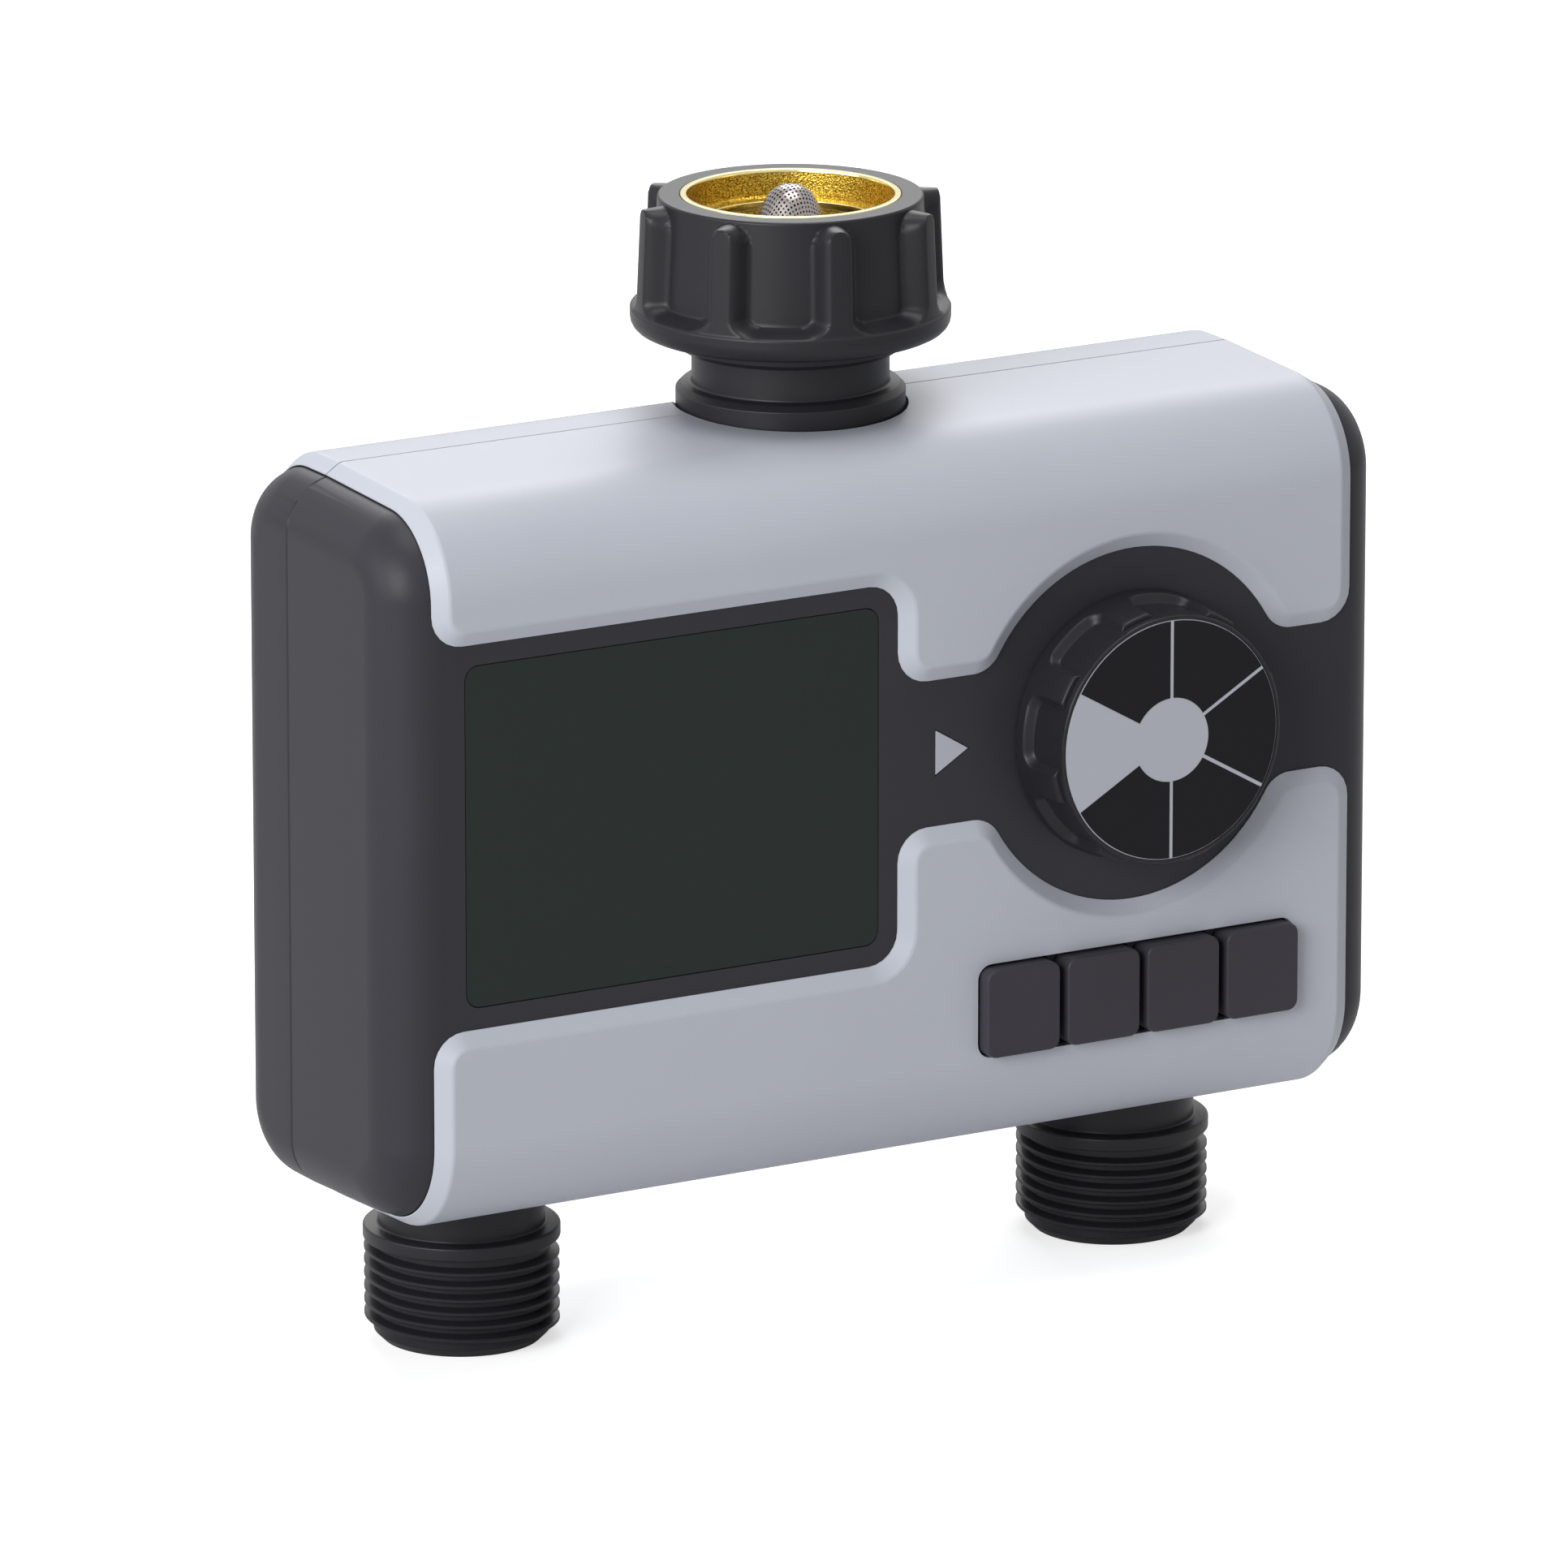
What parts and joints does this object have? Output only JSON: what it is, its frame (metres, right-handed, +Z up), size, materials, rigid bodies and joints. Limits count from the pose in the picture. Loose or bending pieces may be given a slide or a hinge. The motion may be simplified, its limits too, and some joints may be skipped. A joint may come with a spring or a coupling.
{
  "type": "drip irrigation timer",
  "caption": "Battery-run garden watering timer with a swivel tap inlet, display, dial, push buttons and threaded hose outlets underneath.",
  "frame": {"origin": "middle of the inlet's mouth, on the pipes' axis, level with the top of the swivel nut", "axes": "+Z up out of the inlet's mouth, -Y towards the front with display and dial, +X to the right seen from the front"},
  "size_m": [0.1542, 0.0603, 0.1531],
  "materials": {
    "casing": "satin moulded",
    "cover": "satin moulded",
    "window": "dark, smooth",
    "display": "grey-green liquid crystal",
    "inlay": "printed",
    "dial": "satin moulded",
    "dial_print": "printed disc",
    "key": "satin moulded",
    "pipe": "satin moulded",
    "brass": "turned",
    "screen": "perforated",
    "steel": "plain",
    "seal": "soft",
    "board": "lacquered",
    "inner_plastic": "plain moulded",
    "cell": "plain wrapped"
  },
  "bodies": {
    "housing": {"front_housing": "casing", "rear_housing": "casing", "front_upper_cover": "cover", "front_lower_cover": "cover", "rear_upper_cover": "cover", "rear_lower_cover": "cover", "housing_seal": "seal", "housing_screws": "steel", "lcd_window": "window", "lcd_module": "display", "pointer_inlay": "inlay", "dial_seal": "seal", "dial_encoder": "steel", "circuit_board": "board", "button_switches": "inner_plastic", "inlet_washer": "seal", "inlet_spigot": "pipe", "spigot_seal": "seal", "water_manifold": "inner_plastic", "outlet_seals": "seal", "battery_1": "cell", "battery_2": "cell", "battery_contacts": "steel", "outlet_left": "pipe", "valve_body_left": "inner_plastic", "diaphragm_left": "seal", "valve_bonnet_left": "inner_plastic", "solenoid_left": "steel", "plunger_spring_left": "steel", "outlet_right": "pipe", "valve_body_right": "inner_plastic", "diaphragm_right": "seal", "valve_bonnet_right": "inner_plastic", "solenoid_right": "steel", "plunger_spring_right": "steel"},
    "nut": {"inlet_nut": "pipe", "nut_insert": "brass"},
    "filter": {"filter_screen": "screen"},
    "dial": {"dial_knob": "dial", "dial_face": "dial_print", "dial_shaft": "steel"},
    "door": {"battery_door": "casing", "door_seal": "seal"},
    "button_1_key": {"button_1": "key"},
    "button_2_key": {"button_2": "key"},
    "button_3_key": {"button_3": "key"},
    "button_4_key": {"button_4": "key"},
    "plunger_left_core": {"plunger_left": "steel"},
    "plunger_right_core": {"plunger_right": "steel"}
  },
  "joints": [
    {"name": "nut_swivel", "type": "hinge", "parent": "housing", "child": "nut", "pos_m": [0, 0, 0], "axis": [0, 0, 1], "continuous": true},
    {"name": "filter_lift", "type": "slide", "parent": "housing", "child": "filter", "axis": [0, 0, 1], "range_m": [0, 0.016]},
    {"name": "dial_turn", "type": "hinge", "parent": "housing", "child": "dial", "pos_m": [0.0367, -0.0285, -0.07185], "axis": [0, -1, 0], "continuous": true},
    {"name": "door_pull", "type": "slide", "parent": "housing", "child": "door", "axis": [0, 1, 0], "range_m": [0, 0.025]},
    {"name": "button_1_press", "type": "slide", "parent": "housing", "child": "button_1_key", "axis": [0, 1, 0], "range_m": [0, 0.001], "stiffness_N_per_m": 800, "springref_m": -0.001},
    {"name": "button_2_press", "type": "slide", "parent": "housing", "child": "button_2_key", "axis": [0, 1, 0], "range_m": [0, 0.001], "stiffness_N_per_m": 800, "springref_m": -0.001},
    {"name": "button_3_press", "type": "slide", "parent": "housing", "child": "button_3_key", "axis": [0, 1, 0], "range_m": [0, 0.001], "stiffness_N_per_m": 800, "springref_m": -0.001},
    {"name": "button_4_press", "type": "slide", "parent": "housing", "child": "button_4_key", "axis": [0, 1, 0], "range_m": [0, 0.001], "stiffness_N_per_m": 800, "springref_m": -0.001},
    {"name": "plunger_left_lift", "type": "slide", "parent": "housing", "child": "plunger_left_core", "axis": [0, 0, 1], "range_m": [0, 0.002], "stiffness_N_per_m": 300, "springref_m": -0.001, "deforming": ["plunger_spring_left"]},
    {"name": "plunger_right_lift", "type": "slide", "parent": "housing", "child": "plunger_right_core", "axis": [0, 0, 1], "range_m": [0, 0.002], "stiffness_N_per_m": 300, "springref_m": -0.001, "deforming": ["plunger_spring_right"]}
  ]
}
